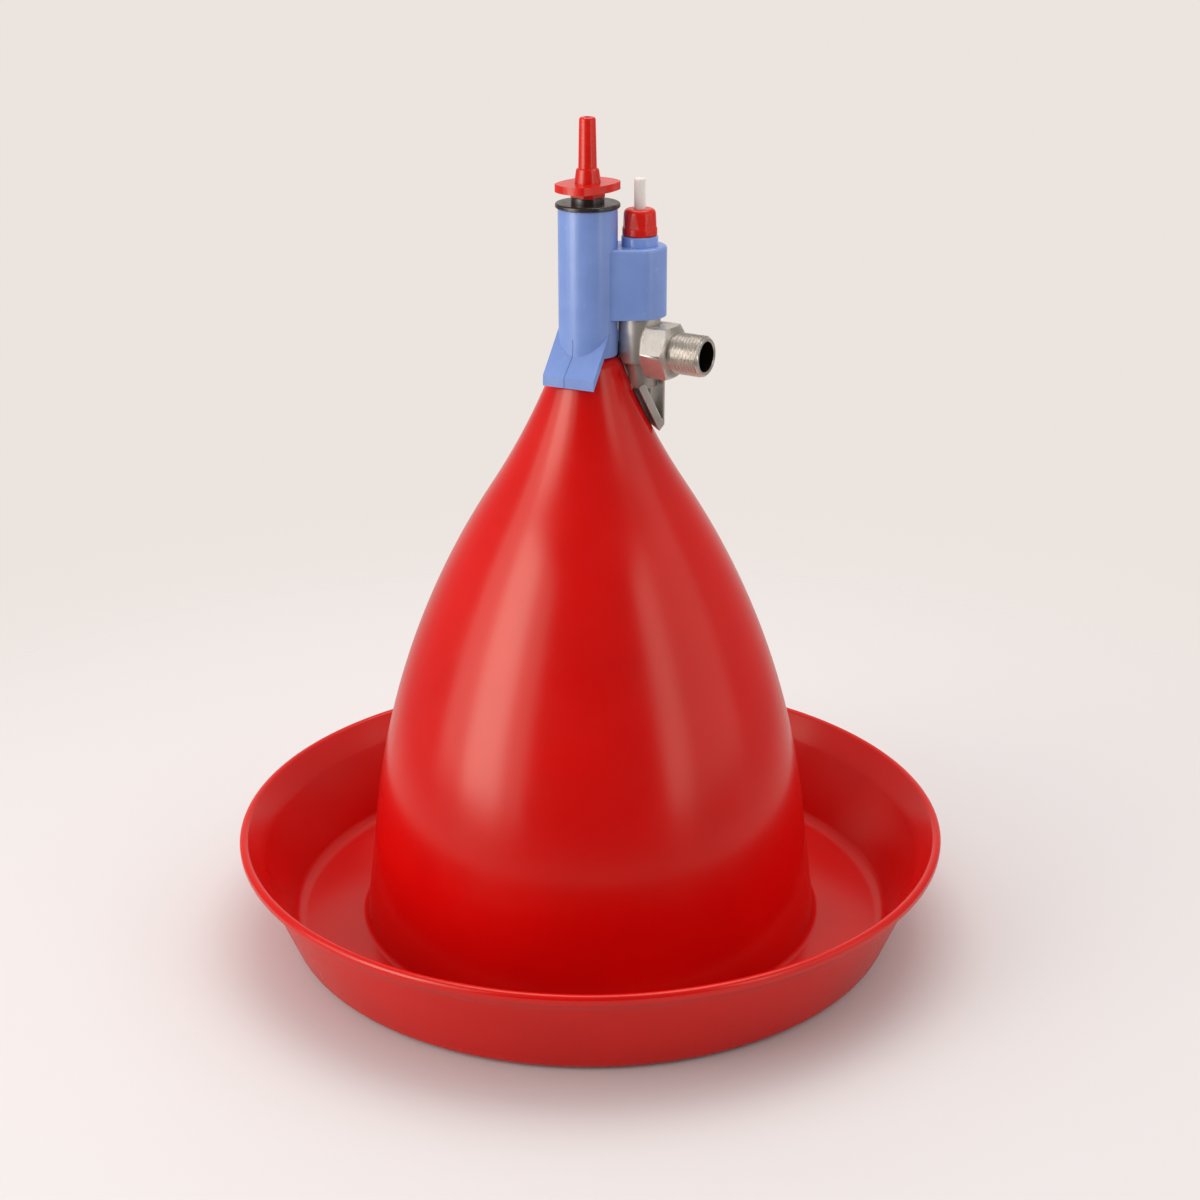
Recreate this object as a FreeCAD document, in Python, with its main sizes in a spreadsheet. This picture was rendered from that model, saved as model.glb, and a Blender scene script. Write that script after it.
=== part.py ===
import FreeCAD, Part
import Sketcher
import math
import os
import re

# Hanging bell drinker for poultry, stood on its tray, in millimetres.
# +Z is up, the origin is on the table under the centre of the tray,
# and +X points from the bell's axis to the axis of the valve socket.

doc = FreeCAD.newDocument("PoultryDrinker")
sheet = doc.addObject("Spreadsheet::Sheet", "Sizes")

# Sizes that can be set by themselves, in millimetres and degrees
sizes = {
    # bell and tray, one moulding
    "wall": 3.0,
    "rimRadius": 190.0,
    "rimHeight": 57.5,
    "lipWidth": 2.5,
    "lipDepth": 5.2,
    "lipFlash": 1.2,
    "flareWidth": 9.3,
    "trayShoulderHeight": 44.0,
    "trayWallRun": 18.1,
    "trayCornerRound": 8.0,
    "trayInnerRound": 8.0,
    "floorTop": 5.0,
    "footRingWidth": 9.24,
    "footRingSlope": 2.0,
    "bellFootRadius": 123.2,
    "bellFootRound": 3.0,
    "bellWaistRadius": 115.4,
    "bellWaistHeight": 68.8,
    "bellBendRadius": 51.0,
    "bellBendHeight": 246.1,
    "bellNeckRadius": 17.3,
    "bellNeckHeight": 311.8,
    "bellTopRadius": 10.04,
    "bellHeight": 316.8,
    # rod, nuts and ballast inside the bell
    "rodRadius": 4.0,
    "rodClearance": 0.3,
    "rodFoot": 11.0,
    "rodHeadFlats": 11.8,
    "rodHeadHeight": 5.3,
    "nutFlats": 13.0,
    "nutHeight": 6.5,
    "washerRadius": 9.6,
    "washerThickness": 1.6,
    "gasketRadius": 11.0,
    "gasketThickness": 1.5,
    "tankFoot": 26.0,
    "tankRadius": 92.0,
    "tankHeight": 62.0,
    "tankRound": 9.0,
    "tankGroove": 2.0,
    "tankGrooveWidth": 10.0,
    "fillerInset": 34.0,
    "fillerRadius": 11.0,
    "fillerHeight": 9.0,
    "fillerCapWall": 2.0,
    "fillerCapGap": 0.3,
    "wingSpan": 17.0,
    "wingThickness": 3.0,
    "wingHeight": 11.0,
    "wingHubRadius": 7.5,
    "wingHubHeight": 8.0,
    # spring anchor and main spring
    "anchorRadius": 11.6,
    "anchorThickness": 2.5,
    "spigotRadius": 7.0,
    "spigotLength": 10.0,
    "springWire": 1.8,
    "springSlack": 0.25,
    "springTurns": 8.0,
    # blue valve housing
    "restGap": 0.3,
    "tubeRadius": 14.9,
    "tubeWall": 2.5,
    "tubeLength": 73.7,
    "ridgeHeight": 335.3,
    "legReach": 23.1,
    "legSlope": 48.3,
    "legWidth": 28.2,
    "legThickness": 3.5,
    "legTurn": 55.5,
    "socketOffset": 26.1,
    "socketRadius": 13.7,
    "socketFoot": 335.9,
    "socketLength": 35.3,
    "socketRound": 1.6,
    "webTaper": 7.0,
    "guideRibWidth": 2.4,
    "guideRibDepth": 1.3,
    "guideRibFoot": 7.5,
    "guideRibLength": 54.0,
    # black cap
    "capRadius": 16.2,
    "capThickness": 2.4,
    "capRound": 1.0,
    "capPlugDepth": 6.0,
    "capCollarRadius": 8.3,
    "capCollarHeight": 5.2,
    "pressSlack": 0.02,
    "runningFit": 0.05,
    # red hanger spindle with its clip, washer and screw
    "journalRadius": 6.2,
    "journalEnd": 2.5,
    "endPlay": 0.1,
    "neckFlats": 15.25,
    "neckCorners": 16.9,
    "neckHeight": 3.0,
    "flangeReach": 16.75,
    "flangeEndSpan": 34.3,
    "flangeHalfWidth": 12.7,
    "flangeThickness": 3.9,
    "flangeCornerRound": 3.0,
    "spindleTurn": 38.5,
    "collarFootRadius": 6.6,
    "collarTopRadius": 5.65,
    "collarHeight": 7.1,
    "collarShoulder": 0.6,
    "stubFootRadius": 4.6,
    "stubTopRadius": 4.1,
    "stubLength": 24.6,
    "stubRound": 1.2,
    "cordBore": 1.7,
    "cordWindowWidth": 4.0,
    "cordWindowHeight": 1.8,
    "clipThickness": 1.0,
    "clipRadius": 9.0,
    "clipGrooveRadius": 5.2,
    "thrustRadius": 10.0,
    "thrustThickness": 0.6,
    "screwRadius": 3.0,
    "screwGrip": 12.0,
    "screwReach": 31.0,
    # spring carrier on the screw
    "carrierFoot": 355.5,
    "carrierThickness": 7.0,
    "slideFit": 0.5,
    "notchSlack": 0.3,
    # valve barrel with its spout, both turned in the socket towards the stirrup
    "valveTurn": 9.0,
    "barrelFoot": 312.2,
    "barrelRadius": 10.8,
    "barrelLength": 39.8,
    "barrelChamfer": 0.8,
    "barrelFit": 0.1,
    "barrelGap": 0.3,
    "chamberRadius": 8.2,
    "chamberFloor": 4.2,
    "spoutShift": 1.0,
    "spoutTopRadius": 8.4,
    "spoutEndRadius": 8.1,
    "spoutLength": 12.8,
    "spoutBore": 6.7,
    "bellGap": 0.5,
    # inlet nipple for half inch pipe thread
    "inletHeight": 318.9,
    "inletTurn": -40.0,
    "inletBore": 7.75,
    "portRadius": 2.4,
    "brazeGap": 0.05,
    "hexFlats": 26.0,
    "hexStart": 7.3,
    "hexLength": 13.7,
    "hexChamfer": 1.4,
    "reliefRadius": 9.2,
    "reliefLength": 2.0,
    "threadRadius": 10.4775,
    "threadLength": 15.9,
    "threadChamfer": 1.3,
    "strainerSeat": 30.0,
    "strainerLength": 13.0,
    "strainerWall": 0.6,
    # plug, bush, gland nut and blanking pin above the barrel
    "plugDepth": 11.0,
    "plugFlange": 6.0,
    "plugNeckRadius": 6.5,
    "plugNeckLength": 25.4,
    "neckSlack": 0.05,
    "ductRadius": 1.2,
    "pinRadius": 2.88,
    "pinSlack": 0.12,
    "pinDepth": 17.4,
    "pinLength": 38.5,
    "pinRound": 0.9,
    "bushRadius": 9.2,
    "bushHeight": 4.9,
    "bushChamfer": 0.5,
    "glandGap": 0.2,
    "glandHeight": 13.1,
    "glandSkirtRadius": 8.75,
    "glandSkirtHeight": 3.8,
    "glandBodyRadius": 8.45,
    "glandTopRadius": 8.0,
    "glandRound": 2.2,
    "glandFlats": 16.0,
    "glandRoof": 3.6,
    "ringWire": 1.1,
    # moving parts of the valve
    "stemShift": 4.9,
    "seatRadius": 3.0,
    "seatBore": 1.9,
    "seatLip": 0.6,
    "seatLipWidth": 0.8,
    "valveTravel": 3.5,
    "closedGap": 0.1,
    "stemRadius": 1.35,
    "stemFoot": 284.6,
    "stemSlack": 0.07,
    "sealRadius": 2.8,
    "sealThickness": 2.5,
    "stemCollarRadius": 2.7,
    "stemCollarThickness": 1.4,
    "stemGuideReach": 8.0,
    "valveSpringWire": 0.7,
    "valveSpringTurns": 5.0,
    "valveSpringSlack": 0.2,
    # stirrup round the spout: a channel along the bell, folded up into a back plate
    "stripThickness": 1.0,
    "stirrupWidth": 19.2,
    "plateReach": 5.7,
    "plateTop": 305.0,
    "padFoot": 276.6,
    "padReach": 2.9,
    "padSlope": 25.5,
    "padHeight": 24.0,
    "padDepth": 4.0,
    "padRound": 1.6,
    "channelFloor": 3.4,
    "channelTop": 22.0,
}

# Levels and radii that follow from them
derived = {
    "trayShoulderRadius": "rimRadius - flareWidth",
    "trayBaseRadius": "trayShoulderRadius - trayWallRun",
    "floorFoot": "floorTop - wall",
    "wallLean": "atan((trayShoulderRadius - trayBaseRadius) / trayShoulderHeight)",
    "wallSkin": "wall / cos(wallLean)",
    "outerRun": "trayCornerRound * tan((90 deg - wallLean) / 2)",
    "footRingRadius": "trayBaseRadius - outerRun - footRingWidth",
    "innerRun": "trayInnerRound * tan((90 deg - wallLean) / 2)",
    "innerBase": "trayBaseRadius + floorTop * tan(wallLean) - wallSkin",
    "lipInner": "rimRadius - lipWidth * 2",
    "bellLean": "atan((bellFootRadius - bellWaistRadius) / (bellWaistHeight - floorTop))",
    "bellRun": "bellFootRound * tan((90 deg - bellLean) / 2)",
    "bendChord": "atan((bellWaistRadius - bellBendRadius) / (bellBendHeight - bellWaistHeight))",
    "bendLean": "2 * bendChord - bellLean",
    "neckChord": "atan((bellBendRadius - bellNeckRadius) / (bellNeckHeight - bellBendHeight))",
    "neckLean": "2 * neckChord - bendLean",
    "bellUnderside": "bellHeight - wall",
    "rodHole": "rodRadius + rodClearance",
    "washerFoot": "bellUnderside - washerThickness",
    "tankTop": "tankFoot + tankHeight",
    "fillerReach": "tankRadius - fillerInset",
    "anchorFoot": "bellHeight + gasketThickness",
    "anchorLength": "anchorThickness + spigotLength",
    "rodHeadFoot": "anchorFoot + anchorLength",
    "rodLength": "rodHeadFoot - rodFoot",
    "coilRadius": "spigotRadius + springSlack + springWire / 2",
    "springFoot": "anchorFoot + anchorThickness + springWire / 2",
    "springRise": "carrierFoot - springWire / 2 - springFoot",
    "tubeBore": "tubeRadius - tubeWall",
    "tubeFoot": "bellHeight + restGap",
    "tubeTop": "tubeFoot + tubeLength",
    "legEndTop": "ridgeHeight - legReach * tan(legSlope)",
    "legDrop": "legThickness / cos(legSlope)",
    "socketTop": "socketFoot + socketLength",
    "tangentX": "socketOffset - socketRadius * sin(webTaper)",
    "tangentY": "socketRadius * cos(webTaper)",
    "webRootY": "tangentY - tangentX * tan(webTaper)",
    "journalHole": "journalRadius + runningFit",
    "spindleFoot": "tubeTop + capCollarHeight + endPlay",
    "thrustFoot": "tubeTop - capPlugDepth - thrustThickness",
    "clipFoot": "thrustFoot - endPlay - clipThickness",
    "grooveFoot": "clipFoot - runningFit - spindleFoot",
    "grooveTop": "clipFoot + clipThickness + runningFit - spindleFoot",
    "journalFoot": "grooveFoot - journalEnd",
    "neckCut": "neckCorners / sqrt(2) - neckFlats / 2",
    "flangeTop": "neckHeight + flangeThickness",
    "flangeEndX": "flangeReach * cos(flangeEndSpan)",
    "flangeEndY": "flangeReach * sin(flangeEndSpan)",
    "flangeBulge": "flangeHalfWidth - flangeEndY",
    "flangeSide": "(flangeEndX * flangeEndX + flangeBulge * flangeBulge) / (2 * flangeBulge)",
    "collarTop": "flangeTop + collarHeight",
    "stubTop": "collarTop + stubLength",
    "screwHole": "screwRadius + pressSlack",
    "screwTop": "journalFoot + screwGrip",
    "screwFoot": "spindleFoot + journalFoot - screwReach",
    "carrierRadius": "tubeBore - slideFit",
    "notchX": "guideRibWidth / 2 + notchSlack",
    "notchY": "tubeBore - guideRibDepth - notchSlack",
    "barrelTop": "barrelFoot + barrelLength",
    "plugFoot": "barrelTop - plugDepth",
    "socketBore": "barrelRadius + barrelFit",
    "socketShoulder": "barrelTop + plugFlange + barrelFit",
    "plugShoulder": "plugDepth + plugFlange",
    "plugLength": "plugShoulder + plugNeckLength",
    "plugNeckHole": "plugNeckRadius + neckSlack",
    "pinHole": "pinRadius + pinSlack",
    "pinFoot": "plugFoot + plugLength - pinDepth",
    "stemX": "socketOffset + stemShift * cos(valveTurn)",
    "stemY": "stemShift * sin(valveTurn)",
    "seatTop": "chamberFloor + seatLip",
    "sealFoot": "barrelFoot + seatTop + closedGap + valveTravel",
    "stemCollarFoot": "sealFoot + sealThickness - stemFoot",
    "stemCollarTop": "stemCollarFoot + stemCollarThickness",
    "stemLength": "plugFoot + stemGuideReach - stemFoot",
    "stemHole": "stemRadius + stemSlack",
    "valveCoil": "stemRadius + valveSpringSlack + valveSpringWire",
    "valveSpringFoot": "stemFoot + stemCollarTop + valveSpringWire / 2",
    "valveSpringRise": "plugFoot - valveSpringWire / 2 - valveSpringFoot",
    "glandFoot": "socketTop + bushHeight + glandGap",
    "glandCeiling": "glandHeight - glandRoof",
    "ringRadius": "pinHole + ringWire",
    "ringHeight": "glandFoot + glandCeiling - ringWire - neckSlack",
    "hexEnd": "hexStart + hexLength",
    "threadFoot": "hexEnd + reliefLength",
    "threadEnd": "threadFoot + threadLength",
    "strainerRadius": "inletBore - neckSlack",
    "padLean": "tan(padSlope)",
    "padSkin": "padDepth / cos(padSlope)",
    "baseSkin": "stripThickness / cos(padSlope)",
    "heelHeight": "(padReach + padSkin - plateReach) / padLean",
    "padEndX": "padReach - padHeight * padLean",
    "padEndZ": "padHeight + padDepth * sin(padSlope)",
    "padEndSkin": "padEndX + padDepth * cos(padSlope)",
    "plateInner": "plateReach - stripThickness",
    "plateLength": "plateTop - padFoot",
}

row = 0
for name, size in sizes.items():
    row += 1
    sheet.set("A%d" % row, name)
    sheet.set("B%d" % row, str(size))
    sheet.setAlias("B%d" % row, name)
for name, formula in derived.items():
    row += 1
    sheet.set("A%d" % row, name)
    sheet.set("B%d" % row, "=" + formula)
    sheet.setAlias("B%d" % row, name)
doc.recompute()

known = set(sizes) | set(derived)
scratchCell = "D1"
upward = FreeCAD.Vector(0, 0, 1)
nodes = []


def number(formula):
    # The sheet works the formula out, so that a sketch starts at its true size.
    sheet.set(scratchCell, "=" + formula)
    sheet.recomputeCells(scratchCell)
    return float(sheet.get(scratchCell))


def bound(formula):
    # The same formula, as other objects of the document have to write it.
    def named(word):
        return "Sizes." + word.group(0) if word.group(0) in known else word.group(0)
    return re.sub(r"[A-Za-z]\w*", named, formula)


def drive(target, path, formula):
    target.setExpression(path, bound(formula))


def place(piece, x="0", y="0", z="0", turn="0", tilt="0"):
    drive(piece, "Placement", "placement(vector(%s; %s; %s); rotation(%s; %s; 0))" % (x, y, z, turn, tilt))


def startBody(name):
    body = doc.addObject("PartDesign::Body", name)
    body.Label = name
    nodes.append(body)
    return body


def startSketch(body, role, name, lift="0", turn="0"):
    # lift raises a level sketch, and turn swings an upright one about the body's own Z.
    plane = [feature for feature in body.Origin.OriginFeatures if feature.Role == role][0]
    sketch = body.newObject("Sketcher::SketchObject", name)
    sketch.AttachmentSupport = [(plane, "")]
    sketch.MapMode = "FlatFace"
    drive(sketch, "AttachmentOffset", "placement(vector(0; 0; %s); rotation(0; %s; 0))" % (lift, turn))
    return sketch


def fixPoint(sketch, edge, end, x, y):
    for kind, axis, formula in (("DistanceX", -2, x), ("DistanceY", -1, y)):
        if formula == "0":
            sketch.addConstraint(Sketcher.Constraint("PointOnObject", edge, end, axis))
        else:
            index = sketch.addConstraint(Sketcher.Constraint(kind, -1, 1, edge, end, number(formula)))
            drive(sketch, "Constraints[%d]" % index, formula)


def fixRadius(sketch, edge, radius):
    index = sketch.addConstraint(Sketcher.Constraint("Radius", edge, number(radius)))
    drive(sketch, "Constraints[%d]" % index, radius)


def drawCircle(sketch, radius, x="0", y="0"):
    centre = FreeCAD.Vector(number(x), number(y), 0)
    edge = sketch.addGeometry(Part.Circle(centre, upward, number(radius)), False)
    fixPoint(sketch, edge, 3, x, y)
    fixRadius(sketch, edge, radius)


def drawOutline(sketch, corners):
    # A closed outline, anticlockwise. A corner is (x, y), reached by a straight edge,
    # (x, y, radius), reached by an arc that bulges outward,
    # or (x, y, "smooth"), reached by an arc tangent to the edge before it.
    count = len(corners)
    points = [FreeCAD.Vector(number(corner[0]), number(corner[1]), 0) for corner in corners]
    edges = []
    ends = []
    for index, start in enumerate(points):
        after = (index + 1) % count
        chord = points[after] - start
        direction = FreeCAD.Vector(chord).normalize()
        if len(corners[after]) == 2:
            edges.append(sketch.addGeometry(Part.LineSegment(start, points[after]), False))
            ends.append((1, 2))
            heading = direction
            continue
        if corners[after][2] == "smooth":
            side = 1 if heading.cross(direction).z > 0 else -1
            bend = heading.getAngle(direction)
        else:
            side = 1
            bend = math.asin(chord.Length / 2 / number(corners[after][2]))
        radius = chord.Length / 2 / math.sin(bend)
        inward = FreeCAD.Vector(-direction.y, direction.x, 0) * side
        centre = (start + points[after]) * 0.5 + inward * (radius * math.cos(bend))
        first, last = (start, points[after]) if side > 0 else (points[after], start)
        angles = [math.atan2(point.y - centre.y, point.x - centre.x) for point in (first, last)]
        arc = Part.ArcOfCircle(Part.Circle(centre, upward, radius), angles[0], angles[1])
        edges.append(sketch.addGeometry(arc, False))
        ends.append((1, 2) if side > 0 else (2, 1))
        heading = FreeCAD.Rotation(upward, math.degrees(bend * side)).multVec(direction)
    for index, edge in enumerate(edges):
        after = (index + 1) % count
        beyond = corners[(index + 2) % count]
        joint = "Tangent" if len(beyond) == 3 and beyond[2] == "smooth" else "Coincident"
        sketch.addConstraint(Sketcher.Constraint(joint, edge, ends[index][1], edges[after], ends[after][0]))
        fixPoint(sketch, edge, ends[index][0], corners[index][0], corners[index][1])
        if len(corners[after]) == 3 and corners[after][2] != "smooth":
            fixRadius(sketch, edge, corners[after][2])


def addFeature(body, kind, sketch, name):
    feature = body.newObject("PartDesign::" + kind, name)
    feature.Profile = sketch
    feature.Refine = True
    sketch.Visibility = False
    return feature


def revolve(body, name, corners, kind="Revolution", turn="0"):
    sketch = startSketch(body, "XZ_Plane", name + "Profile", turn=turn)
    drawOutline(sketch, corners)
    feature = addFeature(body, kind, sketch, name)
    feature.ReferenceAxis = (sketch, ["V_Axis"])
    feature.Angle = 360
    return feature


def turned(name, corners, x="0", y="0", z="0"):
    body = startBody(name)
    revolve(body, name + "Turn", corners)
    place(body, x, y, z)
    return body


def pad(body, sketch, name, length, symmetric=False):
    feature = addFeature(body, "Pad", sketch, name)
    drive(feature, "Length", length)
    if symmetric:
        feature.SideType = "Symmetric"
    return feature


def pocket(body, sketch, name, length, symmetric=False):
    # A level pocket cuts upward from its sketch.
    feature = addFeature(body, "Pocket", sketch, name)
    drive(feature, "Length", length)
    if symmetric:
        feature.SideType = "Symmetric"
    else:
        feature.Reversed = True
    return feature


def raise_(body, name, radius, height, x="0", y="0", lift="0"):
    sketch = startSketch(body, "XY_Plane", name + "Outline", lift=lift)
    drawCircle(sketch, radius, x, y)
    return pad(body, sketch, name, height)


def bore(body, name, radius, depth, x="0", y="0", lift="0"):
    sketch = startSketch(body, "XY_Plane", name + "Outline", lift=lift)
    drawCircle(sketch, radius, x, y)
    return pocket(body, sketch, name, depth)


def hexagonCorners(flats):
    # Six corners, two of them on the Y axis
    half = "%s / 2" % flats
    short = "%s / 2 * tan(30)" % flats
    tall = "%s / 2 / cos(30)" % flats
    return [("0", "-%s" % tall), (half, "-%s" % short), (half, short), ("0", tall),
            ("-%s" % half, short), ("-%s" % half, "-%s" % short)]


def boxCorners(left, front, right, back):
    return [(left, front), (right, front), (right, back), (left, back)]


def roundEdges(body, name, radius, wanted, kind="Fillet"):
    doc.recompute()
    base = body.Tip
    chosen = ["Edge%d" % (index + 1) for index, edge in enumerate(base.Shape.Edges) if wanted(edge)]
    feature = body.newObject("PartDesign::" + kind, name)
    feature.Base = (base, chosen)
    drive(feature, "Radius" if kind == "Fillet" else "Size", radius)
    return feature


def atLevel(edge, level):
    return all(abs(vertex.Z - level) < 1e-4 for vertex in edge.Vertexes)


# Outside of the bell from its foot to the flat of its top, and the same surface moved out by a gap
def bellOutside(gap):
    return [
        ("bellWaistRadius + %s * cos(bellLean)" % gap, "bellWaistHeight + %s * sin(bellLean)" % gap),
        ("bellBendRadius + %s * cos(bendLean)" % gap, "bellBendHeight + %s * sin(bendLean)" % gap, "smooth"),
        ("bellNeckRadius + %s * cos(neckLean)" % gap, "bellNeckHeight + %s * sin(neckLean)" % gap, "smooth"),
        ("bellTopRadius", "bellHeight + %s" % gap, "smooth"),
    ]


# Bell and tray, moulded in one: a foot ring, a leaning outer wall with a rolled lip,
# a level floor, and the bell that rises from it, hollow and open below
bellInside = [
    ("bellTopRadius", "bellUnderside"),
    ("bellNeckRadius - wall * cos(neckLean)", "bellNeckHeight - wall * sin(neckLean)", "smooth"),
    ("bellBendRadius - wall * cos(bendLean)", "bellBendHeight - wall * sin(bendLean)", "smooth"),
    ("bellWaistRadius - wall * cos(bellLean)", "bellWaistHeight - wall * sin(bellLean)", "smooth"),
    ("bellFootRadius - wall", "floorFoot"),
]
turned("bell_tray", [
    ("footRingRadius", "0"),
    ("trayBaseRadius - outerRun", "0"),
    ("trayBaseRadius + outerRun * sin(wallLean)", "outerRun * cos(wallLean)", "smooth"),
    ("trayShoulderRadius", "trayShoulderHeight"),
    ("rimRadius - lipWidth", "rimHeight - lipDepth"),
    ("rimRadius - lipFlash / 2", "rimHeight - lipDepth"),
    ("rimRadius", "rimHeight - lipDepth + lipFlash"),
    ("rimRadius - lipWidth", "rimHeight", "lipWidth * 1.7"),
    ("lipInner", "rimHeight - lipWidth / 2", "lipWidth * 1.4"),
    ("trayShoulderRadius - wallSkin", "trayShoulderHeight + wall / 2"),
    ("innerBase + innerRun * sin(wallLean)", "floorTop + innerRun * cos(wallLean)"),
    ("innerBase - innerRun", "floorTop", "smooth"),
    ("bellFootRadius + bellRun", "floorTop"),
    ("bellFootRadius - bellRun * sin(bellLean)", "floorTop + bellRun * cos(bellLean)", "smooth"),
] + bellOutside("0") + [
    ("rodHole", "bellHeight"),
    ("rodHole", "bellUnderside"),
] + bellInside + [
    ("footRingRadius - footRingSlope", "floorFoot"),
])

# Rod through the bell's top, with the anchor that the main spring hangs from
rod = startBody("centre_rod")
raise_(rod, "rodShank", "rodRadius", "rodLength")
rodHead = startSketch(rod, "XY_Plane", "rodHeadOutline", lift="rodLength")
drawOutline(rodHead, hexagonCorners("rodHeadFlats"))
pad(rod, rodHead, "rodHead", "rodHeadHeight")
place(rod, z="rodFoot")

turned("bell_gasket", boxCorners("rodHole", "0", "gasketRadius", "gasketThickness"), z="bellHeight")
turned("clamp_washer", boxCorners("rodHole", "0", "washerRadius", "washerThickness"), z="washerFoot")
turned("spring_anchor", [
    ("rodHole", "0"),
    ("anchorRadius", "0"),
    ("anchorRadius", "anchorThickness"),
    ("spigotRadius", "anchorThickness"),
    ("spigotRadius", "anchorLength"),
    ("rodHole", "anchorLength"),
], z="anchorFoot")

# Plain nuts: one under the bell's top and one on the tank
for name, foot in (("bell_nut", "washerFoot - nutHeight"), ("ballast_nut", "tankTop")):
    nut = startBody(name)
    outlineSketch = startSketch(nut, "XY_Plane", name + "Outline")
    drawOutline(outlineSketch, hexagonCorners("nutFlats"))
    drawCircle(outlineSketch, "rodRadius + pressSlack")
    pad(nut, outlineSketch, name + "Pad", "nutHeight")
    place(nut, z=foot)

# Ballast tank, filled through a capped neck
tank = turned("ballast_tank", [
    ("rodRadius + rodClearance * 2", "0"),
    ("tankRadius - tankRound", "0"),
    ("tankRadius", "tankRound", "smooth"),
    ("tankRadius", "tankHeight / 2 - tankGrooveWidth / 2"),
    ("tankRadius - tankGroove", "tankHeight / 2 - tankGrooveWidth / 4"),
    ("tankRadius - tankGroove", "tankHeight / 2 + tankGrooveWidth / 4"),
    ("tankRadius", "tankHeight / 2 + tankGrooveWidth / 2"),
    ("tankRadius", "tankHeight - tankRound"),
    ("tankRadius - tankRound", "tankHeight", "smooth"),
    ("rodRadius + rodClearance * 2", "tankHeight"),
], z="tankFoot")
raise_(tank, "fillerNeck", "fillerRadius", "fillerHeight", x="fillerReach", lift="tankHeight")
turned("filler_cap", [
    ("0", "fillerHeight + fillerCapGap"),
    ("fillerRadius + fillerCapGap", "fillerHeight + fillerCapGap"),
    ("fillerRadius + fillerCapGap", "fillerCapGap"),
    ("fillerRadius + fillerCapGap + fillerCapWall", "fillerCapGap"),
    ("fillerRadius + fillerCapGap + fillerCapWall", "fillerHeight + fillerCapGap"),
    ("fillerRadius + fillerCapGap", "fillerHeight + fillerCapGap + fillerCapWall"),
    ("0", "fillerHeight + fillerCapGap + fillerCapWall"),
], x="fillerReach", z="tankTop")

# Wing nut under the tank, with two upright wings that point down
wing = startBody("wing_nut")
wingSketch = startSketch(wing, "XZ_Plane", "wingOutline")
drawOutline(wingSketch, [
    ("-wingHubRadius", "-wingHubHeight / 2"),
    ("wingHubRadius", "-wingHubHeight / 2"),
    ("wingSpan", "-wingHeight"),
    ("wingSpan", "-wingHeight / 3"),
    ("wingHubRadius / 2", "-wingThickness / 2"),
    ("-wingHubRadius / 2", "-wingThickness / 2"),
    ("-wingSpan", "-wingHeight / 3"),
    ("-wingSpan", "-wingHeight"),
])
pad(wing, wingSketch, "wings", "wingThickness", symmetric=True)
raise_(wing, "wingHub", "wingHubRadius", "wingHubHeight", lift="-wingHubHeight")
bore(wing, "wingThread", "rodRadius + pressSlack", "wingHubHeight * 2", lift="-wingHubHeight * 1.5")
place(wing, z="tankFoot")


def coil(name, radius, wire, foot, rise, turns, x="0", y="0"):
    path = doc.addObject("Part::Helix", name + "Path")
    drive(path, "Radius", radius)
    drive(path, "Height", rise)
    drive(path, "Pitch", "(%s) / %s" % (rise, turns))
    section = doc.addObject("Part::Circle", name + "Section")
    drive(section, "Radius", wire + " / 2")
    drive(section, "Placement", "placement(vector(%s; 0; 0); rotation(0; 0; 90))" % radius)
    spring = doc.addObject("Part::Sweep", name)
    spring.Label = name
    spring.Sections = [section]
    spring.Spine = path
    spring.Solid = True
    spring.Frenet = True
    place(spring, x, y, foot)
    nodes.append(spring)


coil("main_spring", "coilRadius", "springWire", "springFoot", "springRise", "springTurns")
coil("valve_spring", "valveCoil", "valveSpringWire", "valveSpringFoot", "valveSpringRise",
     "valveSpringTurns", x="stemX", y="stemY")

# Blue housing: tube, saddle with two sloping legs, web and valve socket, one moulding
housing = startBody("valve_housing")
raise_(housing, "tube", "tubeRadius", "tubeLength", lift="tubeFoot")
saddle = startSketch(housing, "XZ_Plane", "saddleProfile", turn="legTurn")
drawOutline(saddle, [
    ("-legReach", "legEndTop - legDrop"),
    ("0", "ridgeHeight - legDrop"),
    ("legReach", "legEndTop - legDrop"),
    ("legReach", "legEndTop"),
    ("0", "ridgeHeight"),
    ("-legReach", "legEndTop"),
])
pad(housing, saddle, "saddleLegs", "legWidth", symmetric=True)
bore(housing, "barrelClearance", "barrelRadius + barrelGap", "legReach * 2", x="socketOffset",
     lift="socketFoot - legReach * 2")
webSketch = startSketch(housing, "XY_Plane", "webOutline", lift="socketFoot")
drawOutline(webSketch, [
    ("0", "-webRootY"),
    ("tangentX", "-tangentY"),
    ("socketOffset + socketRadius", "0", "socketRadius"),
    ("tangentX", "tangentY", "socketRadius"),
    ("0", "webRootY"),
])
pad(housing, webSketch, "socket", "socketLength")
topLevel, tubeReach = number("socketTop"), number("tubeRadius")
roundEdges(housing, "socketRounding", "socketRound",
           lambda edge: atLevel(edge, topLevel)
           and any(math.hypot(vertex.X, vertex.Y) > tubeReach + 0.01 for vertex in edge.Vertexes))
bore(housing, "tubeHole", "tubeBore", "tubeLength + legReach * 2", lift="tubeFoot - legReach * 2")
for side in ("", "-"):
    name = "guideRib" if side else "guideRibOpposite"
    ribSketch = startSketch(housing, "XY_Plane", name + "Outline", lift="tubeFoot + guideRibFoot")
    inner = side + "(tubeBore - guideRibDepth)"
    outer = side + "(tubeBore + tubeWall / 2)"
    corners = boxCorners("-guideRibWidth / 2", inner, "guideRibWidth / 2", outer)
    if side:
        corners = boxCorners("-guideRibWidth / 2", outer, "guideRibWidth / 2", inner)
    drawOutline(ribSketch, corners)
    pad(housing, ribSketch, name, "guideRibLength")
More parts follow.
